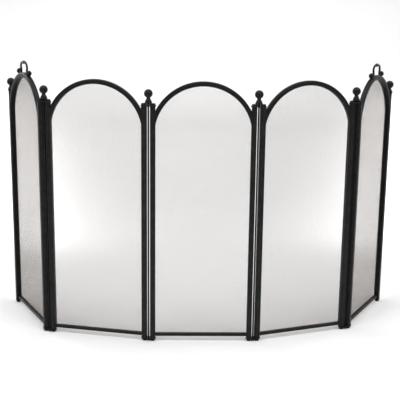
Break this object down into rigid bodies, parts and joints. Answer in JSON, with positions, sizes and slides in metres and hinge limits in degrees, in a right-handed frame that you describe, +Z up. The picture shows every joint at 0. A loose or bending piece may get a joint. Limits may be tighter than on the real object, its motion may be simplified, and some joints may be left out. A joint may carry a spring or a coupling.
{
  "type": "folding fireplace screen",
  "caption": "Folding fireplace screen of arched mesh panels in black tube frames, joined by double-pivot hinges with ball finials, with a lifting handle on each outer panel.",
  "frame": {"origin": "on the floor, under the middle of the bounding box of the screen as it stands", "axes": "+X along the middle panel to the right as seen from the room, +Y from the room towards the fire, +Z up"},
  "size_m": [1.2926, 0.3994, 0.85],
  "materials": {
    "frame": "satin",
    "fittings": "satin",
    "hinges": "satin",
    "mesh": "matte"
  },
  "bodies": {
    "panel_3": {"panel_3_left_rail": "frame", "panel_3_right_rail": "frame", "panel_3_arch": "frame", "panel_3_bottom_rail": "frame", "panel_3_mesh": "mesh", "panel_3_mesh_retainer": "frame", "panel_3_pivot_heads": "hinges", "panel_3_pivot_feet": "hinges"},
    "panel_2": {"panel_2_left_rail": "frame", "panel_2_right_rail": "frame", "panel_2_arch": "frame", "panel_2_bottom_rail": "frame", "panel_2_mesh": "mesh", "panel_2_mesh_retainer": "frame", "panel_2_pivot_heads": "hinges", "panel_2_pivot_feet": "hinges"},
    "panel_1": {"panel_1_left_rail": "frame", "panel_1_right_rail": "frame", "panel_1_arch": "frame", "panel_1_bottom_rail": "frame", "panel_1_mesh": "mesh", "panel_1_mesh_retainer": "frame", "panel_1_pivot_heads": "hinges", "panel_1_pivot_feet": "hinges", "left_end_finial": "fittings", "left_handle": "fittings"},
    "panel_4": {"panel_4_left_rail": "frame", "panel_4_right_rail": "frame", "panel_4_arch": "frame", "panel_4_bottom_rail": "frame", "panel_4_mesh": "mesh", "panel_4_mesh_retainer": "frame", "panel_4_pivot_heads": "hinges", "panel_4_pivot_feet": "hinges"},
    "panel_5": {"panel_5_left_rail": "frame", "panel_5_right_rail": "frame", "panel_5_arch": "frame", "panel_5_bottom_rail": "frame", "panel_5_mesh": "mesh", "panel_5_mesh_retainer": "frame", "panel_5_pivot_heads": "hinges", "panel_5_pivot_feet": "hinges", "right_end_finial": "fittings", "right_handle": "fittings"},
    "hinge_23": {"hinge_23_top_plate": "hinges", "hinge_23_bottom_plate": "hinges", "hinge_23_tie_rod": "hinges", "hinge_23_finial": "fittings"},
    "hinge_12": {"hinge_12_top_plate": "hinges", "hinge_12_bottom_plate": "hinges", "hinge_12_tie_rod": "hinges", "hinge_12_finial": "fittings"},
    "hinge_34": {"hinge_34_top_plate": "hinges", "hinge_34_bottom_plate": "hinges", "hinge_34_tie_rod": "hinges", "hinge_34_finial": "fittings"},
    "hinge_45": {"hinge_45_top_plate": "hinges", "hinge_45_bottom_plate": "hinges", "hinge_45_tie_rod": "hinges", "hinge_45_finial": "fittings"}
  },
  "joints": [
    {"name": "hinge_23_on_panel_3", "type": "hinge", "parent": "panel_3", "child": "hinge_23", "pos_m": [-0.1543, -0.18808, 0], "axis": [0, 0, -1], "range_deg": [-97.5, 82.5]},
    {"name": "panel_2_on_hinge_23", "type": "hinge", "parent": "hinge_23", "child": "panel_2", "pos_m": [-0.18007, -0.18469, 0], "axis": [0, 0, -1], "range_deg": [-96, 84]},
    {"name": "hinge_12_on_panel_2", "type": "hinge", "parent": "panel_2", "child": "hinge_12", "pos_m": [-0.47373, -0.11419, 0], "axis": [0, 0, 1], "range_deg": [-86.5, 93.5]},
    {"name": "panel_1_on_hinge_12", "type": "hinge", "parent": "hinge_12", "child": "panel_1", "pos_m": [-0.49859, -0.10659, 0], "axis": [0, 0, 1], "range_deg": [-43.5, 136.5]},
    {"name": "hinge_34_on_panel_3", "type": "hinge", "parent": "panel_3", "child": "hinge_34", "pos_m": [0.1477, -0.18808, 0], "axis": [0, 0, -1], "range_deg": [-84, 96]},
    {"name": "panel_4_on_hinge_34", "type": "hinge", "parent": "hinge_34", "child": "panel_4", "pos_m": [0.17356, -0.18537, 0], "axis": [0, 0, -1], "range_deg": [-76.5, 103.5]},
    {"name": "hinge_45_on_panel_4", "type": "hinge", "parent": "panel_4", "child": "hinge_45", "pos_m": [0.45824, -0.08456, 0], "axis": [0, 0, 1], "range_deg": [-92.5, 87.5]},
    {"name": "panel_5_on_hinge_45", "type": "hinge", "parent": "hinge_45", "child": "panel_5", "pos_m": [0.48235, -0.07482, 0], "axis": [0, 0, 1], "range_deg": [-128, 52]}
  ]
}
